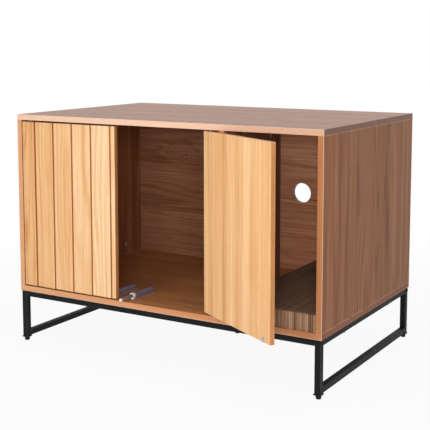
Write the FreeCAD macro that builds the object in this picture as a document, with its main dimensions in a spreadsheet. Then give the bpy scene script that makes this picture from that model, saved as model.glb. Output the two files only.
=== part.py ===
import FreeCAD, Part
import math
import os
import re
import Sketcher

# Cat litter box cabinet on a square-tube stand: two pivoting slatted doors in
# front of the litter compartment, an open niche with a scratching pad beside it.
# +X is to the right, +Y to the back, +Z up. The origin is on the floor, at the
# middle of the footprint with the right door standing open.
# Formulas below count x from the cabinet's left side, y from its front edges and
# z from the underside of its bottom panel.

os.makedirs("parts", exist_ok=True)
doc = FreeCAD.newDocument("litter_cabinet")

sizes = {
    # carcass
    "carcass_width": 940,
    "carcass_depth": 600,
    "carcass_height": 503,
    "board": 15,
    "edge_band": 1,
    "litter_width": 642,
    "divider_depth": 306,
    "back_inset": 11,
    "vent_radius": 30,
    "vent_from_divider": 50,
    # carcass fittings
    "cam_radius": 7.5,
    "cam_depth": 12,
    "cam_to_end": 32,
    "cam_inset": 112,
    "divider_cam_inset": 60,
    "cam_slot_length": 8,
    "cam_slot_width": 1.6,
    "cam_slot_depth": 1.5,
    "bolt_radius": 3,
    "bolt_play": 0.5,
    "bolt_grip": 11,
    "bolt_in_cam": 6,
    "dowel_radius": 4,
    "dowel_in_end": 15,
    "dowel_in_face": 10,
    "back_dowel_inset": 150,
    "back_screw_radius": 2.5,
    "back_screw_head": 4,
    "back_screw_head_depth": 2,
    "back_screw_length": 45,
    "back_screw_rise": 33,
    # stand
    "tube": 16,
    "tube_wall": 1.2,
    "leg_length": 134,
    "stand_side_inset": 2.5,
    "stand_front_inset": 2,
    "rail_screw_radius": 3,
    "rail_screw_play": 0.2,
    "rail_screw_head": 5.5,
    "rail_screw_head_depth": 3,
    "rail_screw_grip": 10,
    "side_rail_screw_inset": 150,
    "left_rail_screw_shift": 192.5,
    "right_rail_screw_shift": 75.5,
    "joint_screw_head": 5,
    "joint_screw_head_depth": 2.2,
    "rail_plug_length": 14,
    "rail_plug_grip": 10,
    "cap_width": 19.5,
    "cap_flange": 3,
    "cap_plug": 12,
    "foot_height": 10,
    "foot_top_radius": 8,
    "foot_bottom_radius": 6.5,
    "foot_round": 1.5,
    "stud_radius": 4,
    "stud_length": 26,
    "stud_play": 0.05,
    # doors
    "side_gap": 2,
    "centre_gap": 2,
    "bottom_gap": 3.5,
    "top_gap": 4.5,
    "door_core": 10,
    "slat_thick": 5,
    "slat_fall": 2.4,
    "slat_count": 6,
    "slat_first": 45,
    "slat_last": 13.8,
    "slat_groove": 4,
    "slat_round": 1.5,
    "open_angle": 149.5,
    # pivots
    "pivot_inset": 25.5,
    "pivot_depth": 8.5,
    "pin_radius": 2.5,
    "pin_play": 0.05,
    "pin_in_door": 20,
    "pin_in_bush": 6,
    "collar_radius": 3.4,
    "collar_thick": 1,
    "bush_radius": 4,
    "bush_depth": 8,
    "bush_flange_radius": 6,
    "bush_flange_thick": 1,
    # push latches
    "latch_spread": 30,
    "latch_rise": 9.8,
    "latch_front": 40,
    "latch_length": 85,
    "latch_radius": 6.5,
    "latch_end_wall": 5,
    "latch_base_width": 11,
    "latch_tab_length": 9,
    "latch_tab_thick": 3,
    "latch_travel": 38,
    "guide_radius": 4.5,
    "guide_play": 0.05,
    "guide_length": 54,
    "rod_radius": 3.5,
    "rod_length": 21,
    "tip_radius": 4,
    "tip_length": 6,
    "tip_bevel": 0.8,
    "tip_gap": 0.3,
    "ring_radius": 7.5,
    "ring_length": 8,
    "ring_play": 0.5,
    "ring_base_width": 7,
    "latch_screw_radius": 1.5,
    "latch_screw_head": 2.8,
    "latch_screw_head_depth": 1.2,
    "latch_screw_grip": 8,
    "spring_wire": 0.35,
    "spring_turns": 12,
    "spring_play": 0.3,
    "strike_radius": 6,
    "strike_thick": 1.5,
    "strike_dimple_radius": 2,
    "strike_dimple_depth": 0.6,
    # scratching pad
    "pad_height": 45,
    "pad_side_gap": 1.5,
    "pad_front_gap": 5,
    "pad_back_gap": 5,
}

sheet = doc.addObject("Spreadsheet::Sheet", "Sizes")
for row, (name, number) in enumerate(sizes.items(), start=1):
    sheet.set("A%d" % row, name)
    sheet.set("B%d" % row, str(number))
    sheet.setAlias("B%d" % row, name)
doc.recompute()

# Named formulas on the driving sizes.
derived = {
    "inner_height": "carcass_height - 2 * board",
    "niche_left": "2 * board + litter_width",
    "niche_width": "carcass_width - 3 * board - litter_width",
    "divider_x": "board + litter_width",
    "back_front": "carcass_depth - back_inset - board",
    "back_middle": "carcass_depth - back_inset - board / 2",
    "top_under": "carcass_height - board",
    "door_thick": "door_core + slat_thick",
    "door_width": "(litter_width - 2 * side_gap - centre_gap) / 2",
    "door_height": "inner_height - bottom_gap - top_gap",
    "door_reach": "door_width - pivot_inset",
    "slat_pitch": "(door_width - slat_first - slat_last) / (slat_count - 2)",
    "left_pivot": "board + side_gap + pivot_inset",
    "right_pivot": "divider_x - side_gap - pivot_inset",
    "left_latch": "board + litter_width / 2 - latch_spread",
    "right_latch": "board + litter_width / 2 + latch_spread",
    "latch_axis": "board + latch_rise",
    "latch_bore_end": "latch_front + latch_length - latch_end_wall",
    "tip_closed": "door_thick + strike_thick + tip_gap",
    "tip_open": "tip_closed - latch_travel",
    "plunger_length": "tip_length + rod_length + guide_length",
    "stand_left": "stand_side_inset",
    "stand_right": "carcass_width - stand_side_inset - tube",
    "stand_front": "stand_front_inset",
    "stand_back": "carcass_depth - stand_front_inset - tube",
    "tube_bore": "tube - 2 * tube_wall",
    "stand_height": "leg_length + cap_flange + foot_height",
    "open_front": "pivot_depth - door_reach * sin(open_angle)"
                  " + (door_thick - pivot_depth) * cos(open_angle)",
    "middle_y": "(carcass_depth + open_front) / 2",
}


def formula(text):
    """Text in the plain names above, as an expression on the sheet's cells."""
    def swap(match):
        word = match.group(0)
        if word in derived:
            return "(" + formula(derived[word]) + ")"
        return "Sizes." + word if word in sizes else word
    return re.sub(r"[a-z][a-z0-9_]*", swap, str(text))


def value(text):
    return float(sheet.evalExpression(formula(text)))


# ---------------------------------------------------------------- building blocks

def new_body(label):
    body = doc.addObject("PartDesign::Body", label)
    body.Label = label
    return body


def sketch_on(body, role, lift="0", shift=("0", "0")):
    """A sketch on one of the body's own origin planes, moved along its normal."""
    plane = next(item for item in body.Origin.OriginFeatures if item.Role == role)
    sketch = body.newObject("Sketcher::SketchObject", body.Name + "_sketch")
    sketch.AttachmentSupport = [(plane, "")]
    sketch.MapMode = "FlatFace"
    for axis, text in zip("xyz", (shift[0], shift[1], lift)):
        sketch.setExpression("AttachmentOffset.Base." + axis, formula(text))
    return sketch


def hold_point(sketch, curve, end, at):
    """Tie a point of a sketch to two formulas; "0" puts it on the axis itself."""
    for kind, axis, text in (("DistanceX", -2, at[0]), ("DistanceY", -1, at[1])):
        if text == "0":
            sketch.addConstraint(Sketcher.Constraint("PointOnObject", curve, end, axis))
        else:
            held = Sketcher.Constraint(kind, -1, 1, curve, end, value(text))
            index = sketch.addConstraint(held)
            sketch.setExpression("Constraints[%d]" % index, formula(text))


def outline(sketch, points):
    """A closed outline of straight lines through points given as formulas."""
    places = [FreeCAD.Vector(value(x), value(y), 0) for x, y in points]
    first = sketch.GeometryCount
    for here, there in zip(places, places[1:] + places[:1]):
        sketch.addGeometry(Part.LineSegment(here, there))
    for index, point in enumerate(points):
        following = first + (index + 1) % len(points)
        joined = Sketcher.Constraint("Coincident", first + index, 2, following, 1)
        sketch.addConstraint(joined)
        hold_point(sketch, first + index, 1, point)


def rectangle(sketch, low, high):
    outline(sketch, [(low[0], low[1]), (high[0], low[1]), (high[0], high[1]), (low[0], high[1])])


def circle(sketch, centre, radius):
    at = FreeCAD.Vector(value(centre[0]), value(centre[1]), 0)
    index = sketch.addGeometry(Part.Circle(at, FreeCAD.Vector(0, 0, 1), value(radius)))
    hold_point(sketch, index, 3, centre)
    rule = sketch.addConstraint(Sketcher.Constraint("Radius", index, value(radius)))
    sketch.setExpression("Constraints[%d]" % rule, formula(radius))


def pad(body, sketch, length, backwards=False):
    feature = body.newObject("PartDesign::Pad", body.Name + "_pad")
    feature.Profile = sketch
    feature.setExpression("Length", formula(length))
    feature.Reversed = backwards
    doc.recompute()
    return feature


def pocket(body, sketch, depth, backwards=False):
    """Cut the sketch into the body, and make sure that the cut met material."""
    before = body.Shape.Volume
    feature = body.newObject("PartDesign::Pocket", body.Name + "_pocket")
    feature.Profile = sketch
    feature.setExpression("Length", formula(depth))
    feature.Reversed = backwards
    doc.recompute()
    if body.Shape.Volume > before - 0.01:
        raise ValueError("a pocket of %s cuts nothing" % body.Label)
    return feature


def drill(body, role, spots, radius, depth, lift="0", backwards=False):
    """Round blind or through holes at the spots, cut from a plane of the body."""
    sketch = sketch_on(body, role, lift)
    for spot in spots:
        circle(sketch, spot, radius)
    return pocket(body, sketch, depth, backwards)


def turn(body, role, points, axis="V_Axis"):
    """A turned piece: the outline swept round an axis of its sketch."""
    sketch = sketch_on(body, role)
    outline(sketch, points)
    feature = body.newObject("PartDesign::Revolution", body.Name + "_turn")
    feature.Profile = sketch
    feature.ReferenceAxis = (sketch, [axis])
    feature.Angle = 360
    doc.recompute()
    return feature


def round_edges(body, radius, wanted):
    """Fillet the edges of the body's last feature that the test picks out."""
    base = body.Tip
    names = ["Edge%d" % (index + 1) for index, edge in enumerate(base.Shape.Edges) if wanted(edge)]
    feature = body.newObject("PartDesign::Fillet", body.Name + "_round")
    feature.Base = (base, names)
    feature.setExpression("Radius", formula(radius))
    doc.recompute()
    return feature


def place(item, x, y, z):
    """Put an object at x, y, z of the cabinet, seen from the part's own origin."""
    item.setExpression("Placement.Base.x", formula("%s - carcass_width / 2" % x))
    item.setExpression("Placement.Base.y", formula("%s - middle_y" % y))
    item.setExpression("Placement.Base.z", formula("%s + stand_height" % z))


def at(x, y, z, turned=FreeCAD.Rotation()):
    """The same place as a value, for copies in a group."""
    base = FreeCAD.Vector(value("%s - carcass_width / 2" % x), value("%s - middle_y" % y),
                          value("%s + stand_height" % z))
    return FreeCAD.Placement(base, turned)


def group(label, master, stations):
    """Several equal pieces as separate solids under one name."""
    doc.recompute()
    item = doc.addObject("Part::Feature", label)
    item.Label = label
    copies = []
    for station in stations:
        copy = master.Shape.copy()
        copy.Placement = station.multiply(copy.Placement)
        copies.append(copy)
    item.Shape = Part.makeCompound(copies)
    return item


flip_x = FreeCAD.Rotation(FreeCAD.Vector(1, 0, 0), 180)
flip_y = FreeCAD.Rotation(FreeCAD.Vector(0, 1, 0), 180)
flip_z = FreeCAD.Rotation(FreeCAD.Vector(0, 0, 1), 180)
nodes = []


# ------------------------------------------------------------------------ carcass

def panel(label, width, depth, height, x, y, z):
    body = new_body(label)
    sketch = sketch_on(body, "XY_Plane")
    rectangle(sketch, ("0", "0"), (width, depth))
    pad(body, sketch, height)
    place(body, x, y, z)
    nodes.append(body)
    return body


body_depth = "carcass_depth - edge_band"
side_rows = ["cam_inset", "carcass_depth - cam_inset"]
divider_rows = ["divider_cam_inset", "divider_depth - divider_cam_inset"]
side_columns = ["board / 2", "carcass_width - board / 2"]
divider_column = "divider_x + board / 2"
back_columns = ["board + back_dowel_inset", "carcass_width - board - back_dowel_inset"]
pivot_columns = ["left_pivot", "right_pivot"]
bolt_spots = [(x, y) for x in side_columns for y in side_rows]
bolt_spots += [(divider_column, y) for y in divider_rows]
dowel_spots = [(x, "carcass_depth / 2") for x in side_columns]
dowel_spots += [(divider_column, "divider_depth / 2")]
dowel_spots += [(x, "back_middle") for x in back_columns]
latch_screw_row = "latch_front + latch_length + latch_tab_length / 2"


def behind_band(spots):
    """Spots of the cabinet as spots of a board that starts behind its edge band."""
    return [(x, "%s - edge_band" % y) for x, y in spots]


def add_flat_panel(label, z, inner_face, into_board):
    """Top or bottom panel, drilled from the face that the upright boards meet."""
    body = panel(label, "carcass_width", body_depth, "board", "0", "edge_band", z)
    for spots, radius, depth in ((bolt_spots, "bolt_radius", "bolt_grip"),
                                 (dowel_spots, "dowel_radius", "dowel_in_face"),
                                 ([(x, "pivot_depth") for x in pivot_columns],
                                  "bush_radius", "bush_depth")):
        drill(body, "XY_Plane", behind_band(spots), radius, depth, inner_face, into_board)
    return body


# The screws in the cross rails keep clear of the bushes above them.
cross_screws = ["left_pivot + left_rail_screw_shift", "right_pivot + right_rail_screw_shift"]
rail_screw_spots = [("stand_left + tube / 2", "side_rail_screw_inset"),
                    ("stand_left + tube / 2", "carcass_depth - side_rail_screw_inset"),
                    ("stand_right + tube / 2", "side_rail_screw_inset"),
                    ("stand_right + tube / 2", "carcass_depth - side_rail_screw_inset"),
                    (cross_screws[0], "stand_front + tube / 2"),
                    (cross_screws[1], "stand_front + tube / 2"),
                    (cross_screws[0], "stand_back + tube / 2"),
                    (cross_screws[1], "stand_back + tube / 2")]

bottom_panel = add_flat_panel("bottom_panel", "0", "board", False)
drill(bottom_panel, "XY_Plane", behind_band(rail_screw_spots),
      "rail_screw_radius", "rail_screw_grip", "0", True)
drill(bottom_panel, "XY_Plane", behind_band([(x, latch_screw_row) for x in ("left_latch", "right_latch")]),
      "latch_screw_radius", "latch_screw_grip", "board")
top_panel = add_flat_panel("top_panel", "top_under", "0", True)


def add_upright(label, depth, x, rows, face, into_board):
    """A side or the divider, with cam pockets in one face and bored ends."""
    body = panel(label, "board", "%s - edge_band" % depth, "inner_height", x, "edge_band", "board")
    heights = ["cam_to_end", "inner_height - cam_to_end"]
    cams = [("%s - edge_band" % row, rise) for row in rows for rise in heights]
    drill(body, "YZ_Plane", cams, "cam_radius", "cam_depth", face, into_board)
    ends = [("board / 2", "%s - edge_band" % row) for row in rows]
    dowel = [("board / 2", "%s / 2 - edge_band" % depth)]
    for lift, upwards in (("0", True), ("inner_height", False)):
        drill(body, "XY_Plane", ends, "bolt_radius + bolt_play", "cam_to_end", lift, upwards)
        drill(body, "XY_Plane", dowel, "dowel_radius", "dowel_in_end", lift, upwards)
    return body


left_side = add_upright("left_side_panel", "carcass_depth", "0", side_rows, "board", False)
right_side = add_upright("right_side_panel", "carcass_depth", "carcass_width - board",
                         side_rows, "0", True)
divider = add_upright("divider_panel", "divider_depth", "divider_x", divider_rows, "board", False)
back_screw_spot = [("back_middle - edge_band", "back_screw_rise")]
drill(left_side, "YZ_Plane", back_screw_spot, "back_screw_radius", "board", "0", True)
drill(left_side, "YZ_Plane", back_screw_spot, "back_screw_head", "back_screw_head_depth", "0", True)
drill(right_side, "YZ_Plane", back_screw_spot, "back_screw_radius", "board", "board")
drill(right_side, "YZ_Plane", back_screw_spot, "back_screw_head", "back_screw_head_depth", "board")

# The back board has one round hole for air and a lamp or fan cord.
back_panel = panel("back_panel", "carcass_width - 2 * board", "board", "inner_height",
                   "board", "back_front", "board")
vent_sketch = sketch_on(back_panel, "XZ_Plane")
circle(vent_sketch, ("litter_width - vent_from_divider", "inner_height / 2"), "vent_radius")
pocket(back_panel, vent_sketch, "board")
back_ends = [("%s - board" % x, "board / 2") for x in back_columns]
drill(back_panel, "XY_Plane", back_ends, "dowel_radius", "dowel_in_end", "0", True)
drill(back_panel, "XY_Plane", back_ends, "dowel_radius", "dowel_in_end", "inner_height")
edge_spot = [("board / 2", "back_screw_rise")]
screw_in_back = "back_screw_length - board"
drill(back_panel, "YZ_Plane", edge_spot, "back_screw_radius", screw_in_back, "0", True)
drill(back_panel, "YZ_Plane", edge_spot, "back_screw_radius", screw_in_back, "carcass_width - 2 * board")


def box(name, width, depth, height, x, y, z):
    item = doc.addObject("Part::Box", name)
    for side, text in (("Length", width), ("Width", depth), ("Height", height)):
        item.setExpression(side, formula(text))
    place(item, x, y, z)
    return item


# Light bands glued on the front edges of the five boards that show there.
bands = doc.addObject("Part::Compound", "front_edge_bands")
bands.Label = "front_edge_bands"
bands.Links = [
    box("bottom_band", "carcass_width", "edge_band", "board", "0", "0", "0"),
    box("top_band", "carcass_width", "edge_band", "board", "0", "0", "top_under"),
    box("left_band", "board", "edge_band", "inner_height", "0", "0", "board"),
    box("divider_band", "board", "edge_band", "inner_height", "divider_x", "0", "board"),
    box("right_band", "board", "edge_band", "inner_height", "carcass_width - board", "0", "board"),
]
nodes.append(bands)

# Cam lock: a disc whose front looks along +X, open downwards for the bolt.
cam = new_body("cam")
cam_disc = sketch_on(cam, "YZ_Plane")
circle(cam_disc, ("0", "0"), "cam_radius")
pad(cam, cam_disc, "cam_depth", True)
drill(cam, "XY_Plane", [("0 - board / 2", "0")], "bolt_radius + bolt_play", "2 * cam_radius")
for long_way, short_way in (("cam_slot_length / 2", "cam_slot_width / 2"),
                            ("cam_slot_width / 2", "cam_slot_length / 2")):
    slot = sketch_on(cam, "YZ_Plane")
    rectangle(slot, ("0 - " + long_way, "0 - " + short_way), (long_way, short_way))
    pocket(cam, slot, "cam_slot_depth")

low_cam = "board + cam_to_end"
high_cam = "top_under - cam_to_end"
cam_stations = []
for row in side_rows:
    cam_stations += [at("board", row, low_cam), at("board", row, high_cam, flip_x),
                     at("carcass_width - board", row, low_cam, flip_z),
                     at("carcass_width - board", row, high_cam, flip_y)]
for row in divider_rows:
    cam_stations += [at("niche_left", row, low_cam), at("niche_left", row, high_cam, flip_x)]
nodes.append(group("cam_locks", cam, cam_stations))


def rod(name, radius, length):
    item = doc.addObject("Part::Cylinder", name)
    item.setExpression("Radius", formula(radius))
    item.setExpression("Height", formula(length))
    return item


def in_both_ends(spots, in_face):
    """Stations for pins that stand in the bottom and the top panel's inner faces."""
    low = [at(x, y, "board - " + in_face) for x, y in spots]
    high = [at(x, y, "top_under + " + in_face, flip_x) for x, y in spots]
    return low + high


bolt = rod("bolt", "bolt_radius", "bolt_grip + cam_to_end - cam_radius + bolt_in_cam")
nodes.append(group("cam_bolts", bolt, in_both_ends(bolt_spots, "bolt_grip")))
dowel = rod("dowel", "dowel_radius", "dowel_in_face + dowel_in_end")
nodes.append(group("wood_dowels", dowel, in_both_ends(dowel_spots, "dowel_in_face")))


def screw(label, head, head_depth, shank, length):
    """A flat-headed screw along +X; its head starts at the origin."""
    body = new_body(label)
    turn(body, "XY_Plane", [("0", "0"), ("0", head), (head_depth, head),
                            (head_depth, shank), (length, shank), (length, "0")], "H_Axis")
    return body


back_screw = screw("back_screw", "back_screw_head", "back_screw_head_depth",
                   "back_screw_radius", "back_screw_length")
back_screw_height = "board + back_screw_rise"
nodes.append(group("back_panel_screws", back_screw,
                   [at("0", "back_middle", back_screw_height),
                    at("carcass_width", "back_middle", back_screw_height, flip_z)]))


# -------------------------------------------------------------------------- stand

along = {"X": ("YZ_Plane", False), "Y": ("XZ_Plane", True), "Z": ("XY_Plane", False)}


def square_tube(label, axis, length, x, y, z):
    """A square steel tube that runs from x, y, z along one axis."""
    body = new_body(label)
    role, backwards = along[axis]
    outer = sketch_on(body, role)
    rectangle(outer, ("0", "0"), ("tube", "tube"))
    pad(body, outer, length, backwards)
    inner = sketch_on(body, role)
    rectangle(inner, ("tube_wall", "tube_wall"), ("tube - tube_wall", "tube - tube_wall"))
    pocket(body, inner, length, not backwards)
    place(body, x, y, z)
    nodes.append(body)
    return body


side_rail_length = "stand_back - stand_front - tube"
cross_rail_length = "stand_right - stand_left - tube"
screw_hole = "rail_screw_radius + rail_screw_play"
for side, x in (("left", "stand_left"), ("right", "stand_right")):
    for end, y in (("front", "stand_front"), ("back", "stand_back")):
        leg = square_tube("%s_%s_leg" % (side, end), "Z", "leg_length", x, y, "0 - leg_length")
        drill(leg, "YZ_Plane", [("tube / 2", "leg_length - tube / 2")], screw_hole, "tube", "0", True)
    rail_y = "(stand_front + tube)"
    top_rail = square_tube("%s_top_rail" % side, "Y", side_rail_length, x, rail_y, "0 - tube")
    spots = [("tube / 2", "%s - %s" % (spot, rail_y))
             for spot in ("side_rail_screw_inset", "(carcass_depth - side_rail_screw_inset)")]
    drill(top_rail, "XY_Plane", spots, screw_hole, "tube", "tube")
    square_tube("%s_bottom_rail" % side, "Y", side_rail_length, x, rail_y, "0 - leg_length")
for end, y in (("front", "stand_front"), ("back", "stand_back")):
    cross_rail = square_tube("%s_cross_rail" % end, "X", cross_rail_length,
                             "stand_left + tube", y, "0 - tube")
    spots = [("%s - stand_left - tube" % spot, "tube / 2") for spot in cross_screws]
    drill(cross_rail, "XY_Plane", spots, screw_hole, "tube", "tube")

# A threaded plug sits in each end of the cross rails; the screw comes through the leg.
plug = new_body("plug")
plug_sketch = sketch_on(plug, "YZ_Plane")
rectangle(plug_sketch, ("0 - tube_bore / 2", "0 - tube_bore / 2"), ("tube_bore / 2", "tube_bore / 2"))
pad(plug, plug_sketch, "rail_plug_length")
drill(plug, "YZ_Plane", [("0", "0")], "rail_screw_radius", "rail_plug_length", "rail_plug_length")
joint_rows = ["stand_front + tube / 2", "stand_back + tube / 2"]
plug_stations = []
joint_stations = []
for row in joint_rows:
    plug_stations += [at("stand_left + tube", row, "0 - tube / 2"),
                      at("stand_right", row, "0 - tube / 2", flip_z)]
    joint_stations += [at("stand_left - joint_screw_head_depth", row, "0 - tube / 2"),
                       at("stand_right + tube + joint_screw_head_depth", row, "0 - tube / 2", flip_z)]
nodes.append(group("rail_plugs", plug, plug_stations))
joint_screw = screw("joint_screw", "joint_screw_head", "joint_screw_head_depth",
                    "rail_screw_radius", "joint_screw_head_depth + tube + rail_plug_grip")
nodes.append(group("stand_joint_screws", joint_screw, joint_stations))
rail_screw = screw("rail_screw", "rail_screw_head", "rail_screw_head_depth",
                   "rail_screw_radius", "rail_screw_head_depth + tube + rail_screw_grip")
point_up = FreeCAD.Rotation(FreeCAD.Vector(0, 1, 0), -90)
nodes.append(group("stand_fixing_screws", rail_screw,
                   [at(x, y, "0 - tube - rail_screw_head_depth", point_up)
                    for x, y in rail_screw_spots]))

# Plastic cap in each leg's lower end, bored for the foot's stud.
cap = new_body("cap")
flange_sketch = sketch_on(cap, "XY_Plane")
rectangle(flange_sketch, ("0 - cap_width / 2", "0 - cap_width / 2"), ("cap_width / 2", "cap_width / 2"))
pad(cap, flange_sketch, "cap_flange")
plug_sketch = sketch_on(cap, "XY_Plane", "cap_flange")
rectangle(plug_sketch, ("0 - tube_bore / 2", "0 - tube_bore / 2"), ("tube_bore / 2", "tube_bore / 2"))
pad(cap, plug_sketch, "cap_plug")
drill(cap, "XY_Plane", [("0", "0")], "stud_radius + stud_play", "cap_flange + cap_plug", "0", True)
leg_spots = {"left_front": ("stand_left + tube / 2", joint_rows[0]),
             "right_front": ("stand_right + tube / 2", joint_rows[0]),
             "left_back": ("stand_left + tube / 2", joint_rows[1]),
             "right_back": ("stand_right + tube / 2", joint_rows[1])}
nodes.append(group("leg_caps", cap, [at(x, y, "0 - leg_length - cap_flange")
                                     for x, y in leg_spots.values()]))

for corner, (x, y) in leg_spots.items():
    foot = new_body(corner + "_foot")
    stud_end = "foot_height + stud_length"
    turn(foot, "XZ_Plane", [("0", "0"), ("foot_bottom_radius", "0"), ("foot_top_radius", "foot_height"),
                            ("stud_radius", "foot_height"), ("stud_radius", stud_end), ("0", stud_end)])
    round_edges(foot, "foot_round", lambda edge: edge.BoundBox.ZMax < 0.01 and len(edge.Vertexes) == 1)
    place(foot, x, y, "0 - stand_height")
    nodes.append(foot)


# -------------------------------------------------------------------------- doors

# Both doors are the same piece. In its own frame the pivot axis stands at x 0, y 0,
# x runs to the free edge, y inwards, and z up from the lower edge. The right door
# is turned half round, head down, and stands open by the opening angle.
half_open = math.radians(value("open_angle") / 2)
turned_over = FreeCAD.Rotation(FreeCAD.Vector(-math.sin(half_open), math.cos(half_open), 0), 180)
from_corner = ("0 - pivot_inset", "0 - pivot_depth")
door_places = {
    "left": (FreeCAD.Rotation(), "left_pivot", "board + bottom_gap"),
    "right": (turned_over, "right_pivot", "top_under - top_gap"),
}


def hang(item, side):
    turned, pivot, z = door_places[side]
    item.Placement.Rotation = turned
    place(item, pivot, "pivot_depth", z)
    nodes.append(item)


def slat_edges():
    """Start and end of each slat, and how far its face falls back at both."""
    grooves = int(sizes["slat_count"]) - 1
    width = "(slat_pitch - slat_groove)"
    for index in range(grooves + 1):
        groove_edge = "slat_first + %d * slat_pitch - slat_groove / 2" % index
        start = "0" if index == 0 else "slat_first + %d * slat_pitch + slat_groove / 2" % (index - 1)
        end = "door_width" if index == grooves else groove_edge
        falls = ["slat_fall * (%s - (%s)) / %s" % (groove_edge, spot, width) for spot in (start, end)]
        yield start, end, falls


def add_slat(label, side, start, end, falls):
    """One slat: its face leans out from its hinge side to its free side."""
    body = new_body(label)
    sketch = sketch_on(body, "XY_Plane", "0", from_corner)
    proud = "0" if end != "door_width" else falls[1]
    outline(sketch, [(start, "slat_thick"), (start, falls[0]), (end, proud), (end, "slat_thick")])
    pad(body, sketch, "door_height")
    face_limit = value("slat_thick - pivot_depth") - 0.01
    width = value(end) - value(start)

    def outer_end(edge):
        across = edge.BoundBox.ZLength < 0.01 and edge.BoundBox.XLength > 0.9 * width
        return across and edge.BoundBox.YMax < face_limit

    def proud_side(edge):
        middle = edge.CenterOfMass
        upright = edge.BoundBox.ZLength > 1 and middle.y < face_limit
        return upright and middle.x > value(end) - value("pivot_inset") - 0.01

    round_edges(body, "slat_round", lambda edge: outer_end(edge) or proud_side(edge))
    hang(body, side)


def add_door(side):
    core = new_body(side + "_door_core")
    sketch = sketch_on(core, "XY_Plane", "0", from_corner)
    rectangle(sketch, ("0", "slat_thick"), ("door_width", "door_thick"))
    pad(core, sketch, "door_height")
    drill(core, "XY_Plane", [("0", "0")], "pin_radius", "pin_in_door", "0", True)
    drill(core, "XY_Plane", [("0", "0")], "pin_radius", "pin_in_door", "door_height")
    hang(core, side)
    for number, (start, end, falls) in enumerate(slat_edges(), start=1):
        add_slat("%s_door_slat_%d" % (side, number), side, start, end, falls)

    # Steel pins stand out of both ends of the core; a collar keeps the gap.
    lower, upper = ("bottom_gap", "top_gap") if side == "left" else ("top_gap", "bottom_gap")
    pins = doc.addObject("Part::Compound", side + "_door_pins")
    pins.Label = side + "_door_pins"
    shafts = []
    for name, gap, z, turned in (("low", lower, "0", flip_x), ("high", upper, "door_height", FreeCAD.Rotation())):
        shaft = new_body("%s_%s_pin" % (side, name))
        pin_top = "%s + pin_in_bush" % gap
        turn(shaft, "XZ_Plane", [("0", "0 - pin_in_door"), ("pin_radius", "0 - pin_in_door"),
                                 ("pin_radius", "0"), ("collar_radius", "0"),
                                 ("collar_radius", "collar_thick"), ("pin_radius", "collar_thick"),
                                 ("pin_radius", pin_top), ("0", pin_top)])
        shaft.Placement.Rotation = turned
        shaft.setExpression("Placement.Base.z", formula(z))
        shafts.append(shaft)
    pins.Links = shafts
    hang(pins, side)

    # Steel disc that the latch's magnet holds, on the inner face near the free edge.
    strike = new_body(side + "_strike_disc")
    along_door = "door_reach + centre_gap / 2 - latch_spread"
    rise = "latch_rise - bottom_gap" if side == "left" else "door_height + bottom_gap - latch_rise"
    inner_face = "pivot_depth - door_thick"
    disc = sketch_on(strike, "XZ_Plane", inner_face)
    circle(disc, (along_door, rise), "strike_radius")
    pad(strike, disc, "strike_thick", True)
    drill(strike, "XZ_Plane", [(along_door, rise)], "strike_dimple_radius", "strike_dimple_depth",
          inner_face + " - strike_thick", True)
    hang(strike, side)


add_door("left")
add_door("right")

# Flanged bushes in the bottom and top panels carry the pins.
bush = new_body("bush")
bore = "pin_radius + pin_play"
turn(bush, "XZ_Plane", [(bore, "0 - bush_depth"), ("bush_radius", "0 - bush_depth"),
                        ("bush_radius", "0"), ("bush_flange_radius", "0"),
                        ("bush_flange_radius", "bush_flange_thick"), (bore, "bush_flange_thick")])
bush_stations = []
for x in pivot_columns:
    bush_stations += [at(x, "pivot_depth", "board"), at(x, "pivot_depth", "top_under", flip_x)]
nodes.append(group("pivot_bushes", bush, bush_stations))


# ------------------------------------------------------------------- push latches

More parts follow.
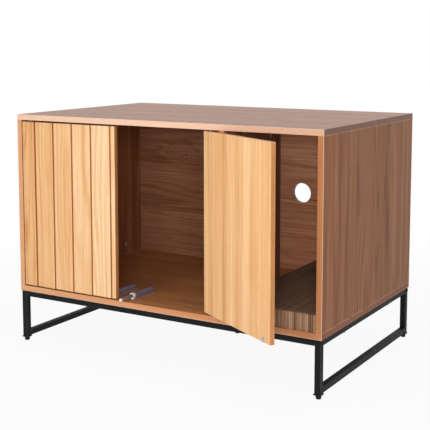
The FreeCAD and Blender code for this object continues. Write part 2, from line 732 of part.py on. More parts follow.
def add_latch(side, x, tip_y):
    barrel = new_body(side + "_latch_body")
    tube_sketch = sketch_on(barrel, "XZ_Plane")
    circle(tube_sketch, ("0", "latch_rise"), "latch_radius")
    pad(barrel, tube_sketch, "latch_length", True)
    base_sketch = sketch_on(barrel, "XZ_Plane")
    rectangle(base_sketch, ("0 - latch_base_width / 2", "0"), ("latch_base_width / 2", "latch_rise"))
    pad(barrel, base_sketch, "latch_length", True)
    tab_sketch = sketch_on(barrel, "XY_Plane")
    rectangle(tab_sketch, ("0 - latch_base_width / 2", "latch_length"),
              ("latch_base_width / 2", "latch_length + latch_tab_length"))
    pad(barrel, tab_sketch, "latch_tab_thick")
    drill(barrel, "XZ_Plane", [("0", "latch_rise")], "guide_radius + guide_play",
          "latch_length - latch_end_wall")
    drill(barrel, "XY_Plane", [("0", "latch_length + latch_tab_length / 2")],
          "latch_screw_radius", "latch_tab_thick", "latch_tab_thick")
    place(barrel, x, "latch_front", "board")
    nodes.append(barrel)

    plunger = new_body(side + "_latch_plunger")
    shoulder = "tip_length + rod_length"
    turn(plunger, "XY_Plane", [("0", "tip_length"), ("rod_radius", "tip_length"), ("rod_radius", shoulder),
                               ("guide_radius", shoulder), ("guide_radius", "plunger_length"),
                               ("0", "plunger_length")])
    place(plunger, x, tip_y, "latch_axis")
    nodes.append(plunger)

    tip = new_body(side + "_latch_tip")
    turn(tip, "XY_Plane", [("0", "0"), ("tip_radius - tip_bevel", "0"), ("tip_radius", "tip_bevel"),
                           ("tip_radius", "tip_length"), ("0", "tip_length")])
    place(tip, x, tip_y, "latch_axis")
    nodes.append(tip)

    # Coil between the plunger's end and the closed end of the body.
    wire = value("spring_wire")
    clear = value("spring_play") + wire
    start = value("%s + plunger_length" % tip_y) + clear
    length = value("latch_bore_end") - clear - start
    radius = value("guide_radius") - value("spring_play") - wire
    helix = Part.makeHelix(length / value("spring_turns"), length, radius)
    section = Part.makeCircle(wire, FreeCAD.Vector(radius, 0, 0), FreeCAD.Vector(0, 1, 0))
    coil = Part.Wire(helix.Edges).makePipeShell([Part.Wire(section)], True, True)
    spring = doc.addObject("Part::Feature", side + "_latch_spring")
    spring.Label = side + "_latch_spring"
    spring.Shape = coil
    spring.Placement.Rotation = FreeCAD.Rotation(FreeCAD.Vector(1, 0, 0), -90)
    place(spring, x, "%s + plunger_length + spring_play + spring_wire" % tip_y, "latch_axis")
    nodes.append(spring)


add_latch("left", "left_latch", "tip_closed")
add_latch("right", "right_latch", "tip_open")

# Clear guide ring on its own small base in front of each latch body.
ring = new_body("ring")
ring_sketch = sketch_on(ring, "XZ_Plane")
circle(ring_sketch, ("0", "latch_rise"), "ring_radius")
pad(ring, ring_sketch, "ring_length", True)
ring_base = sketch_on(ring, "XZ_Plane")
rectangle(ring_base, ("0 - ring_base_width / 2", "0"), ("ring_base_width / 2", "latch_rise"))
pad(ring, ring_base, "ring_length", True)
drill(ring, "XZ_Plane", [("0", "latch_rise")], "guide_radius + ring_play", "ring_length")
nodes.append(group("latch_rings", ring, [at(x, "latch_front - ring_length", "board")
                                         for x in ("left_latch", "right_latch")]))
latch_screw = screw("latch_screw", "latch_screw_head", "latch_screw_head_depth", "latch_screw_radius",
                    "latch_screw_head_depth + latch_tab_thick + latch_screw_grip")
point_down = FreeCAD.Rotation(FreeCAD.Vector(0, 1, 0), 90)
latch_screw_top = "board + latch_tab_thick + latch_screw_head_depth"
nodes.append(group("latch_screws", latch_screw,
                   [at(x, latch_screw_row, latch_screw_top, point_down)
                    for x in ("left_latch", "right_latch")]))


# ---------------------------------------------------------------- scratching pad

scratching_pad = panel("scratching_pad", "niche_width - 2 * pad_side_gap",
                       "back_front - pad_front_gap - pad_back_gap", "pad_height",
                       "niche_left + pad_side_gap", "pad_front_gap", "board")


# ------------------------------------------------------------- checks and export

doc.recompute()
for item in doc.Objects:
    if "Invalid" in item.State or "Error" in item.State:
        raise ValueError("%s did not compute: %s" % (item.Label, item.State))
for node in nodes:
    if node.Shape.isNull() or not node.Shape.isValid() or node.Shape.Volume <= 0:
        raise ValueError("%s has no valid solid" % node.Label)
for node in nodes:
    node.Shape.exportStep("parts/%s.step" % node.Label)
    print("%-24s %2d solids %10.0f mm3" % (node.Label, len(node.Shape.Solids), node.Shape.Volume))
whole = Part.makeCompound([node.Shape for node in nodes]).BoundBox
print("%d nodes" % len(nodes))
print("x %.1f..%.1f  y %.1f..%.1f  z %.1f..%.1f"
      % (whole.XMin, whole.XMax, whole.YMin, whole.YMax, whole.ZMin, whole.ZMax))
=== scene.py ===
import math
import random

import bpy
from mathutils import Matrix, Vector


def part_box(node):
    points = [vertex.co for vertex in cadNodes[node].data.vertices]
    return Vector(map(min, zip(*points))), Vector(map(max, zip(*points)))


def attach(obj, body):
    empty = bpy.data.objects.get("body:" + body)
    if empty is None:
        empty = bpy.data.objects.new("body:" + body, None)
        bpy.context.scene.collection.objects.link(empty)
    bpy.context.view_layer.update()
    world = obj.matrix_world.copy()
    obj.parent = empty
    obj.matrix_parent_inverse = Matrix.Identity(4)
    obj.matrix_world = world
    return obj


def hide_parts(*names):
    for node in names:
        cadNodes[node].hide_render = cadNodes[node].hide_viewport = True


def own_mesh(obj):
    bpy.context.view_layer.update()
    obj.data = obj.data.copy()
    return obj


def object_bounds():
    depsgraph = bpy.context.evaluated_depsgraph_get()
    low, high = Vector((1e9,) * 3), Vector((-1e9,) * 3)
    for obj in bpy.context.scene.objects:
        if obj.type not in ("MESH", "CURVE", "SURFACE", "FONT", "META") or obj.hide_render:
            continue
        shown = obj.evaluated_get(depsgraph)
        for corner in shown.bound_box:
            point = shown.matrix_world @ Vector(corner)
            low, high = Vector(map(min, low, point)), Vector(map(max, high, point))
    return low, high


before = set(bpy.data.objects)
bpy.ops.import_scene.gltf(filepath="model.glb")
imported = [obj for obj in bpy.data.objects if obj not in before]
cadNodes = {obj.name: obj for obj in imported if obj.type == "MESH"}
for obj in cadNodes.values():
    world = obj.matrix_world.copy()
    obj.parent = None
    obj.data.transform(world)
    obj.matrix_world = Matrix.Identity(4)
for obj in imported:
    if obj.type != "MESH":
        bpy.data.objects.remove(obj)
cadBox = [list(corner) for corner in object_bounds()]
bpy.ops.object.select_all(action="DESELECT")
print("frame loaded:", len(cadNodes), "nodes")

mm = 0.001


# shader maths: a wire is one socket, and sums on wires add their nodes

class Wire:
    def __init__(self, look, socket):
        self.look = look
        self.socket = socket

    def maths(self, operation, other=0.0, swapped=False):
        pair = (other, self) if swapped else (self, other)
        return self.look.add("ShaderNodeMath", {"operation": operation}, {0: pair[0], 1: pair[1]})

    def __add__(self, other):
        return self.maths("ADD", other)

    __radd__ = __add__

    def __sub__(self, other):
        return self.maths("SUBTRACT", other)

    def __rsub__(self, other):
        return self.maths("SUBTRACT", other, swapped=True)

    def __mul__(self, other):
        return self.maths("MULTIPLY", other)

    def __truediv__(self, other):
        return self.maths("DIVIDE", other)

    def __pow__(self, other):
        return self.maths("POWER", other)

    def __gt__(self, other):
        return self.maths("GREATER_THAN", other)

    def __lt__(self, other):
        return self.maths("LESS_THAN", other)

    def size(self):
        return self.maths("ABSOLUTE")

    def least(self, other):
        return self.maths("MINIMUM", other)

    def most(self, other):
        return self.maths("MAXIMUM", other)

    def dot(self, direction):
        return self.look.add("ShaderNodeVectorMath", {"operation": "DOT_PRODUCT"},
                             {0: self, 1: direction}, "Value")

    def between(self, low, high):  # 0 at low, 1 at high, smooth on the way
        return self.look.add("ShaderNodeMapRange", {"interpolation_type": "SMOOTHSTEP"},
                             {"Value": self, "From Min": low, "From Max": high})


class Look:  # one material; with a tree given, only a way to add nodes to it
    def __init__(self, name, tree=None, **constants):
        self.tree = tree
        if tree:
            return
        self.material = bpy.data.materials.new(name)
        self.material.use_nodes = True
        self.tree = self.material.node_tree
        self.tree.nodes.clear()
        self.shader = self.tree.nodes.new("ShaderNodeBsdfPrincipled")
        self.output = self.tree.nodes.new("ShaderNodeOutputMaterial")
        self.tree.links.new(self.shader.outputs[0], self.output.inputs["Surface"])
        for socket, value in constants.items():
            self.set(socket.replace("_", " "), value)

    def feed(self, socket, value):
        if isinstance(value, Wire):
            self.tree.links.new(value.socket, socket)
        else:
            socket.default_value = value

    def set(self, socket, value):
        self.feed(self.shader.inputs[socket], value)

    def add(self, kind, settings=None, inputs=None, output=0):
        node = self.tree.nodes.new(kind)
        for name, value in (settings or {}).items():
            if name == "stops":
                ramp = node.color_ramp
                while len(ramp.elements) < len(value):
                    ramp.elements.new(0.5)
                for element, (spot, colour) in zip(ramp.elements, value):
                    element.position = spot
                    element.color = colour
            else:
                setattr(node, name, value)
        for name, value in (inputs or {}).items():
            self.feed(node.inputs[name], value)
        return Wire(self, node.outputs[output])

    def place(self, axis=None):
        spot = self.add("ShaderNodeTexCoord", output="Object")
        return spot if axis is None else spot.dot(tuple(axis))

    def facing(self, axis):
        return self.add("ShaderNodeTexCoord", output="Normal").dot(tuple(axis)).size()

    def noise(self, vector, scale=1.0, detail=3.0, roughness=0.5):
        return self.add("ShaderNodeTexNoise", None, {
            "Vector": vector, "Scale": scale, "Detail": detail, "Roughness": roughness})

    def blend(self, below, above, factor, kind="MIX"):
        settings = {"data_type": "RGBA", "blend_type": kind, "clamp_factor": True}
        return self.add("ShaderNodeMix", settings, {0: factor, 6: below, 7: above}, 2)

    def ramp(self, tone, stops):
        return self.add("ShaderNodeValToRGB", {"stops": stops}, {"Fac": tone})

    def bump(self, height, distance, strength):
        self.set("Normal", self.add("ShaderNodeBump", None, {
            "Height": height, "Distance": distance, "Strength": strength}))


def tint(red, green, blue):  # a screen colour, 0 to 255, as the shader wants it
    def straight(part):
        part = part / 255
        return part / 12.92 if part <= 0.04045 else ((part + 0.055) / 1.055) ** 2.4
    return (straight(red), straight(green), straight(blue), 1.0)


def arrisDistance(spans):  # how far a spot of a board is from its nearest arris
    reach = []
    for spot, low, high in spans:
        reach.append((spot - low).size().least((spot - high).size()))
    first, second, third = reach
    nearest = first.least(second)
    second = first.most(second)
    return nearest.most(second.least(third))


def spansOf(names, axes, wires):
    spans = []
    for axis, wire in zip(axes, wires):
        steps = [vertex.co.dot(axis) for name in names for vertex in cadNodes[name].data.vertices]
        spans.append((wire, min(steps), max(steps)))
    return spans


def dress(names, look):
    for name in names:
        node = cadNodes[name]
        node.data.materials.clear()
        node.data.materials.append(look.material)


# wood: a foil or solid board, its grain drawn along one axis of the board

grainLayers = {  # the noise of each layer; its shift keeps the layers from lining up
    "wander": {"detail": 2.0, "roughness": 0.45, "shift": 0.0},
    "calm": {"detail": 1.0, "roughness": 0.5, "shift": 5.9},
    "band": {"detail": 2.0, "roughness": 0.5, "shift": 3.7},
    "streak": {"detail": 3.0, "roughness": 0.6, "shift": 9.2},
    "fibre": {"detail": 3.0, "roughness": 0.6, "shift": 7.1},
    "pore": {"detail": 1.0, "roughness": 0.5, "shift": 11.3},
}
grainShape = {  # the same for every wood; rates are per metre
    "endFrom": 0.7, "sideBelow": 0.5, "sideShare": 0.85, "bedReach": 0.4 * mm, "bedShare": 0.9,
    "ringSharpness": 1.5, "ringMiddle": 0.4,
    "calmAcross": 0.8, "calmAlong": 1.6, "calmFull": 0.35, "calmFrom": 0.65, "calmShare": 0.2,
    "poreAcross": 1.3, "poreAlong": 3.5, "poreFrom": 0.60, "poreFull": 0.72,
    "arrisPatch": 60.0, "arrisFrom": 0.30, "arrisFull": 0.62,
    "chipRate": 420.0, "boreReach": 0.05 * mm,
    "fibreDull": 0.12, "poreDull": 0.08,
    "relief": 0.10 * mm, "fibreRelief": 0.5, "streakRelief": 0.5, "poreRelief": 0.6,
}


def woodLook(name, wood, axes, shift=0.0, knots=(), nodes=(), bore=None):
    look = Look(name, Specular_IOR_Level=wood["gloss"])
    spots = [look.place(axis) for axis in axes]
    ends = look.facing(axes[0]) > grainShape["endFrom"]  # the ends have their grain along the edge
    along = spots[0] + (spots[1] - spots[0]) * ends
    across = spots[1] + (spots[2] - spots[1]) * ends
    depth = spots[2]

    def grain(kind, acrossRate, alongRate):
        layer = grainLayers[kind]
        spot = look.add("ShaderNodeCombineXYZ", None, {
            "X": across * acrossRate + (shift + layer["shift"]),
            "Y": depth * acrossRate + layer["shift"],
            "Z": along * alongRate + shift})
        return look.noise(spot, detail=layer["detail"], roughness=layer["roughness"])

    # growth rings: nearly straight lines that wander, and close round a knot
    sway = grain("wander", wood["wanderAcross"], wood["wanderAlong"])
    figure = across * wood["slope"] + sway * wood["wander"]
    for knot in knots:
        aside = (across - knot["across"]) / knot["width"]
        beyond = (along - knot["along"]) / knot["length"]
        spread = (aside * aside + beyond * beyond) * -1.0
        figure = figure + spread.maths("EXPONENT") * knot["lift"]
    rings = ((figure * (2 * math.pi)).maths("SINE") * 0.5 + 0.5) ** grainShape["ringSharpness"]
    patches = grain("calm", wood["wanderAcross"] * grainShape["calmAcross"],
                    wood["wanderAlong"] * grainShape["calmAlong"])
    patches = patches.between(grainShape["calmFull"], grainShape["calmFrom"])
    least = grainShape["calmShare"]  # what is left of the rings in a calm patch
    clear = patches * (1 - least) + least
    bands = grain("band", wood["bandAcross"], wood["bandAlong"])
    streaks = grain("streak", wood["streakAcross"], wood["streakAlong"])
    fibres = grain("fibre", wood["fibreAcross"], wood["fibreAlong"])
    pores = grain("pore", wood["fibreAcross"] * grainShape["poreAcross"],
                  wood["fibreAlong"] * grainShape["poreAlong"])
    pores = pores.between(grainShape["poreFrom"], grainShape["poreFull"])
    tone = ((bands - 0.5) * wood["bandDepth"] + (streaks - 0.5) * wood["streakDepth"]
            + (fibres - 0.5) * wood["fibreDepth"] + (0.5 + wood["shade"])
            + (grainShape["ringMiddle"] - rings) * clear * wood["lineDepth"])
    colour = look.ramp(tone, wood["stops"])
    colour = look.blend(colour, wood["pore"], pores * wood["poreDepth"])
    if "endShade" in wood:  # painted shade: the ends are made darker than the face
        colour = look.blend(colour, wood["endShade"], ends, "MULTIPLY")
    if "sideToneAndShade" in wood:  # deeper round the edges of a door, partly their own tone and partly painted shade, and painted shade on the walls of its grooves
        sides = (look.facing(axes[2]) < grainShape["sideBelow"]) * grainShape["sideShare"]
        colour = look.blend(colour, wood["sideToneAndShade"], sides, "MULTIPLY")
    if "grooveBedShade" in wood:  # painted shade: the board is dark at the bottom of the grooves between the slats
        low = spansOf(nodes, [axes[2]], [depth])[0][1]
        bed = (depth < low + grainShape["bedReach"]) * grainShape["bedShare"]
        colour = look.blend(colour, wood["grooveBedShade"], bed)
    if nodes:
        # paler arrises: partly wear, partly a painted highlight along the edges
        edge = arrisDistance(spansOf(nodes, axes, spots)).between(wood["arris"], 0.0)
        wearAndShade = look.noise(look.place(), grainShape["arrisPatch"])
        edge = edge * wearAndShade.between(grainShape["arrisFrom"], grainShape["arrisFull"])
        colour = look.blend(colour, wood["arrisWearAndHighlight"], edge * wood["arrisWearAndHighlightDepth"])
    if bore:  # raw chipboard shows in the wall of a hole
        aside, beyond = across - bore["across"], along - bore["along"]
        inside = (aside * aside + beyond * beyond) < (bore["radius"] + grainShape["boreReach"]) ** 2
        chips = look.noise(look.place(), grainShape["chipRate"], detail=2.0, roughness=0.7)
        colour = look.blend(colour, look.ramp(chips, bore["stops"]), inside)
    look.set("Base Color", colour)
    look.set("Roughness", wood["roughness"] + (fibres - 0.5) * grainShape["fibreDull"]
             + pores * grainShape["poreDull"])
    relief = (fibres * grainShape["fibreRelief"] + streaks * grainShape["streakRelief"]
              - pores * grainShape["poreRelief"])
    look.bump(relief, grainShape["relief"], wood["bump"])
    return look


softArris = {"join": 0.005 * mm, "segments": 2, "sharper": math.radians(40),
             "board": 0.35 * mm, "door": 0.4 * mm, "tube": 0.9 * mm}


def soften(names, width):  # a fine bevel on the arrises of CAD parts
    for name in names:
        weld = cadNodes[name].modifiers.new("joinTriangles", "WELD")
        weld.merge_threshold = softArris["join"]
        bevel = cadNodes[name].modifiers.new("softArris", "BEVEL")
        bevel.width = width
        bevel.segments = softArris["segments"]
        bevel.limit_method = "ANGLE"
        bevel.angle_limit = softArris["sharper"]


axisX, axisY, axisZ = Vector((1, 0, 0)), Vector((0, 1, 0)), Vector((0, 0, 1))

walnutFoil = {
    "stops": [(0.12, tint(98, 56, 35)), (0.42, tint(147, 96, 68)), (0.60, tint(163, 110, 80)),
              (0.9, tint(186, 134, 102))],
    "pore": tint(84, 49, 32), "poreDepth": 0.3, "shade": 0.0,
    "slope": 34.0, "wander": 14.0, "wanderAcross": 9.0, "wanderAlong": 0.8, "lineDepth": 0.15,
    "bandAcross": 20.0, "bandAlong": 0.5, "bandDepth": 0.55,
    "streakAcross": 190.0, "streakAlong": 2.0, "streakDepth": 0.85,
    "fibreAcross": 520.0, "fibreAlong": 6.0, "fibreDepth": 0.5,
    "roughness": 0.42, "gloss": 0.35, "bump": 0.5,
    "arris": 1.0 * mm, "arrisWearAndHighlight": tint(214, 170, 142), "arrisWearAndHighlightDepth": 0.75,
}
oakFoil = {
    "stops": [(0.12, tint(196, 138, 84)), (0.40, tint(224, 170, 114)), (0.60, tint(233, 183, 130)),
              (0.9, tint(243, 203, 155))],
    "pore": tint(190, 132, 80), "poreDepth": 0.22, "shade": 0.0,
    "slope": 40.0, "wander": 9.0, "wanderAcross": 10.0, "wanderAlong": 0.9, "lineDepth": 0.12,
    "bandAcross": 30.0, "bandAlong": 0.4, "bandDepth": 1.05,
    "streakAcross": 210.0, "streakAlong": 2.2, "streakDepth": 0.6,
    "fibreAcross": 480.0, "fibreAlong": 7.0, "fibreDepth": 0.45,
    "roughness": 0.45, "gloss": 0.3, "bump": 0.5,
    "arris": 1.0 * mm, "arrisWearAndHighlight": tint(250, 222, 184), "arrisWearAndHighlightDepth": 0.6,
}
sideFoil = {  # broad soft bands with a pale line down the arrises, partly wear and partly painted highlight
    "stops": [(0.12, tint(106, 62, 38)), (0.42, tint(149, 95, 62)), (0.60, tint(165, 110, 74)),
              (0.9, tint(188, 135, 97))],
    "bandAcross": 22.0, "bandDepth": 0.85, "streakAcross": 90.0, "streakDepth": 0.5,
    "fibreDepth": 0.4, "lineDepth": 0.25, "gloss": 0.08, "bump": 0.3,
    "arris": 1.7 * mm, "arrisWearAndHighlight": tint(232, 198, 172), "arrisWearAndHighlightDepth": 0.85,
}
carcass = {  # axes: along the grain, across it, through the board; then what differs from the foil
    # painted light: each board's shade value makes the same foil lighter or darker by how much light
    # falls on it
    "top_panel": {"axes": (axisX, axisY, axisZ), "gloss": 0.42, "shade": 0.12, "arrisWearAndHighlightDepth": 0.3,
                  "endShade": tint(186, 160, 140)},
    "bottom_panel": {"axes": (axisX, axisY, axisZ), "gloss": 0.15, "arrisWearAndHighlightDepth": 0.85,
                     # painted light: paler stops for the bottom panel, which is lit from the front
                     "stops": [(0.12, tint(138, 82, 46)), (0.42, tint(188, 124, 76)),
                               (0.60, tint(204, 140, 90)), (0.9, tint(222, 164, 118))],
                     "endShade": tint(192, 176, 166), "arris": 1.5 * mm},
    "back_panel": {"axes": (axisX, axisZ, axisY), "gloss": 0.2, "shade": 0.1, "lineDepth": 0.2,
                   "streakAcross": 200.0, "streakAlong": 3.0},
    "left_side_panel": dict(sideFoil, axes=(axisZ, axisY, axisX)),
    "right_side_panel": dict(sideFoil, axes=(axisZ, axisY, axisX), shade=0.03),
    "divider_panel": {"axes": (axisZ, axisY, axisX), "gloss": 0.12},
}
backKnots = [
    {"along": -300 * mm, "across": 501 * mm, "length": 42 * mm, "width": 20 * mm, "lift": 3.4},
    {"along": -235 * mm, "across": 474 * mm, "length": 60 * mm, "width": 17 * mm, "lift": 2.4},
]
ventHole = {
    "along": 137 * mm, "across": 398.5 * mm, "radius": 30 * mm,
    "stops": [(0.35, tint(120, 88, 60)), (0.5, tint(186, 150, 112)), (0.65, tint(216, 186, 148))],
}
foilStep = 2.3  # moves the pattern on, so that no two boards are alike
for index, (name, board) in enumerate(carcass.items()):
    back = name == "back_panel"
    foil = dict(walnutFoil, **{key: value for key, value in board.items() if key != "axes"})
    dress([name], woodLook(name + "Foil", foil, board["axes"], foilStep * index,
                           backKnots if back else (), [name], ventHole if back else None))
soften(carcass, softArris["board"])
print("carcass dressed")


# front edge bands: grain along x above and below, upright between

edgeBand = {
    "stops": [(0.0, tint(158, 98, 58)), (0.35, tint(190, 128, 84)), (0.65, tint(208, 150, 106)),
              (1.0, tint(226, 172, 130))],
    "litTopTint": tint(238, 206, 183), "litTopShare": 0.65,  # painted light: the top strip is paler, as it catches more light
    "shadeToRight": 0.55,  # painted shade: all strips get deeper to the right, where less light falls
    "fibreAcross": 480.0, "fibreAlong": 8.0, "fibreDepth": 0.3,
    "streakAcross": 90.0, "streakAlong": 1.6, "streakDepth": 0.6,
    "arris": 1.2 * mm, "arrisWearAndHighlight": tint(246, 222, 204), "arrisWearAndHighlightDepth": 0.7,
    "board": 15 * mm,  # thickness of the panels above and below
    "gloss": 0.3, "roughness": 0.4, "dull": 0.12, "relief": 0.08 * mm, "bump": 0.5,
}


def bandLook(band):
    look = Look("frontBandFoil", Specular_IOR_Level=band["gloss"])
    x, z = look.place(axisX), look.place(axisZ)
    low, high = (corner[2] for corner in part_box("left_side_panel"))
    level = (z < low).most(z > high)
    along = z + (x - z) * level
    across = x + (z - x) * level

    def grain(kind):
        spot = look.add("ShaderNodeCombineXYZ", None, {
            "X": across * band[kind + "Across"], "Z": along * band[kind + "Along"]})
        return look.noise(spot, roughness=0.6) - 0.5

    fibres = grain("fibre")
    streaks = grain("streak")
    # painted shade: the tone falls off to the right
    tone = streaks * band["streakDepth"] + fibres * band["fibreDepth"] + 0.5 - x * band["shadeToRight"]
    colour = look.ramp(tone, band["stops"])
    # painted light: the top strip is blended towards a paler tint
    litTop = (z > high) * (band["litTopShare"] - x.most(0.0) * band["shadeToRight"])
    colour = look.blend(colour, band["litTopTint"], litTop)
    # paler arrises: partly wear, partly a painted highlight along the edges
    edges = [(x - cadBox[0][0]).size(), (x - cadBox[1][0]).size(),
             (z - (low - band["board"])).size(), (z - (high + band["board"])).size()]
    edge = edges[0].least(edges[1]).least(edges[2]).least(edges[3])
    edge = edge.between(band["arris"], 0.0) * band["arrisWearAndHighlightDepth"]
    colour = look.blend(colour, band["arrisWearAndHighlight"], edge)
    look.set("Base Color", colour)
    look.set("Roughness", band["roughness"] + fibres * band["dull"])
    look.bump(fibres, band["relief"], band["bump"])
    return look


dress(["front_edge_bands"], bandLook(edgeBand))
print("edge bands dressed")


# doors: a foiled board with six slats glued on its front

openAngle = math.radians(149.5)
doorAxes = {
    "left": (axisZ, axisX, axisY),
    "right": (axisZ, Vector((-math.cos(openAngle), -math.sin(openAngle), 0.0)),
              Vector((-math.sin(openAngle), math.cos(openAngle), 0.0))),
}
oakSlat = dict(oakFoil, bandDepth=0.7, bandAlong=1.2, lineDepth=0.3, slope=26.0, wander=12.0,
               stops=[(0.12, tint(196, 134, 80)), (0.40, tint(223, 171, 117)),
                      (0.60, tint(232, 187, 138)), (0.9, tint(243, 210, 167))],
               sideToneAndShade=tint(204, 164, 118))
slatShades = {
    "left": (-0.20, -0.04, 0.06, 0.10, 0.22, 0.24),
    "right": (0.05, -0.12, 0.16, 0.0, 0.1, -0.05),
}
coreFoil = dict(oakFoil, bandDepth=1.3, streakDepth=0.7, streakAcross=320.0, lineDepth=0.1,
                fibreDepth=0.6, sideToneAndShade=tint(212, 184, 152), grooveBedShade=tint(158, 102, 54))
doorKnot = {"along": 262 * mm, "length": 45 * mm, "width": 9 * mm, "lift": 1.6}
knotShare = 0.83  # how far across the door the knot is
doorShift = {"left": 0.0, "right": 40.0, "core": 5.0, "slat": 9.7}  # where each pattern starts
for side, axes in doorAxes.items():
    core = side + "_door_core"
    edgeSpots = [vertex.co.dot(axes[1]) for vertex in cadNodes[core].data.vertices]
    knot = dict(doorKnot, across=min(edgeSpots) + knotShare * (max(edgeSpots) - min(edgeSpots)))
    shift = doorShift[side] + doorShift["core"]
    dress([core], woodLook(side + "CoreFoil", coreFoil, axes, shift, [knot], [core]))
    for number, shade in enumerate(slatShades[side], start=1):
        slat = "%s_door_slat_%d" % (side, number)
        shift = doorShift[side] + doorShift["slat"] * number
        name = "%sSlatFoil%d" % (side, number)
        dress([slat], woodLook(name, dict(oakSlat, shade=shade), axes, shift))
soften(["left_door_core", "right_door_core"], softArris["door"])
print("doors dressed")


# stand

coating = {  # orange peel, dust, and paler edges, partly rubbed and partly painted highlight; rates are per metre
    "peel": 900.0, "relief": 0.03 * mm, "bump": 0.4,
    "patch": 9.0, "dustFrom": 0.35, "dustShare": 0.35, "dull": 0.15,
    "edge": 1.3 * mm, "bare": 0.2 * mm, "edgeShare": 0.6,
    "edgePatch": 45.0, "edgeFrom": 0.35, "edgeFull": 0.62,
}


def powderLook(name, powder, node=None):
    look = Look(name, Specular_IOR_Level=powder["gloss"])
    spot = look.place()
    peel = look.noise(spot, coating["peel"], detail=2.0)
    patch = look.noise(spot, coating["patch"])
    dusty = (patch - coating["dustFrom"]) * coating["dustShare"]
    colour = look.blend(powder["colour"], powder["dust"], dusty)
    if node:
        axes = (axisX, axisY, axisZ)
        # paler edges: partly rubbing, partly a painted highlight
        edge = arrisDistance(spansOf([node], axes, [look.place(axis) for axis in axes]))
        edge = edge.between(coating["edge"], coating["bare"])
        wearAndShade = look.noise(spot, coating["edgePatch"])
        edge = edge * wearAndShade.between(coating["edgeFrom"], coating["edgeFull"])
        colour = look.blend(colour, powder["rubbedAndHighlight"], edge * coating["edgeShare"])
    look.set("Base Color", colour)
    look.set("Roughness", powder["roughness"] + (patch - 0.5) * coating["dull"])
    look.bump(peel, coating["relief"], coating["bump"])
    return look


blackPowder = {"colour": tint(22, 22, 24), "dust": tint(42, 42, 44), "rubbedAndHighlight": tint(84, 83, 83),
               "gloss": 0.12, "roughness": 0.55}
blackPlastic = {"colour": tint(18, 18, 20), "dust": tint(40, 40, 42), "rubbedAndHighlight": tint(70, 70, 70),
                "gloss": 0.2, "roughness": 0.55}
tubes = [name for name in cadNodes if name.endswith(("_leg", "_rail"))]
for tube in tubes:
    dress([tube], powderLook(tube + "Powder", blackPowder, tube))
soften(tubes, softArris["tube"])
dress(["stand_joint_screws", "stand_fixing_screws"], powderLook("screwPowder", blackPowder))
dress([name for name in cadNodes if name.endswith("_foot")] + ["leg_caps", "rail_plugs"],
      powderLook("blackPlastic", blackPlastic))
print("stand dressed")


# small fittings

fitting = {
    "grain": 300.0, "dulled": tint(120, 120, 120), "dullFrom": 0.4, "dullShare": 0.25, "dull": 0.2,
    "relief": 0.03 * mm, "bump": 0.5,
}


def plainLook(name, colour, roughness, metallic=0.0):
    look = Look(name, Metallic=metallic)
    grainy = look.noise(look.place(), fitting["grain"], roughness=0.6)
    dulled = (grainy - fitting["dullFrom"]) * fitting["dullShare"]
    look.set("Base Color", look.blend(colour, fitting["dulled"], dulled))
    look.set("Roughness", roughness + (grainy - 0.5) * fitting["dull"])
    look.bump(grainy, fitting["relief"], fitting["bump"])
    return look


dress(["left_latch_body", "right_latch_body", "left_latch_plunger", "right_latch_plunger",
       "pivot_bushes"], plainLook("latchGrey", tint(128, 118, 134), roughness=0.38))
dress(["left_latch_tip", "right_latch_tip", "latch_rings"],
      plainLook("tipWhite", tint(232, 230, 236), roughness=0.3))
steel = plainLook("screwSteel", tint(178, 176, 174), roughness=0.34, metallic=1.0)
dress(["cam_bolts", "latch_screws", "left_door_pins", "right_door_pins", "left_latch_spring"], steel)
dress(["back_panel_screws"], plainLook("burntSteel", tint(74, 66, 64), roughness=0.5, metallic=0.6))
dress(["left_strike_disc", "right_strike_disc"],
      plainLook("strikeNickel", tint(176, 176, 182), roughness=0.4, metallic=0.25))
dress(["cam_locks"], plainLook("camZinc", tint(190, 188, 188), roughness=0.5, metallic=0.35))
beech = dict(oakFoil, bandAcross=400.0)
dress(["wood_dowels"], woodLook("beechDowel", beech, (axisZ, axisX, axisY)))
print("fittings dressed")


# the right latch's spring, which is pressed together as its door closes; here it is wound at full
# length, and springKeep is not applied

latchCoil = {"turns": 12, "wire": 0.35 * mm, "sides": 8, "steps": 20,  # steps in each turn
             "smooth": math.radians(50), "travel": 38 * mm}


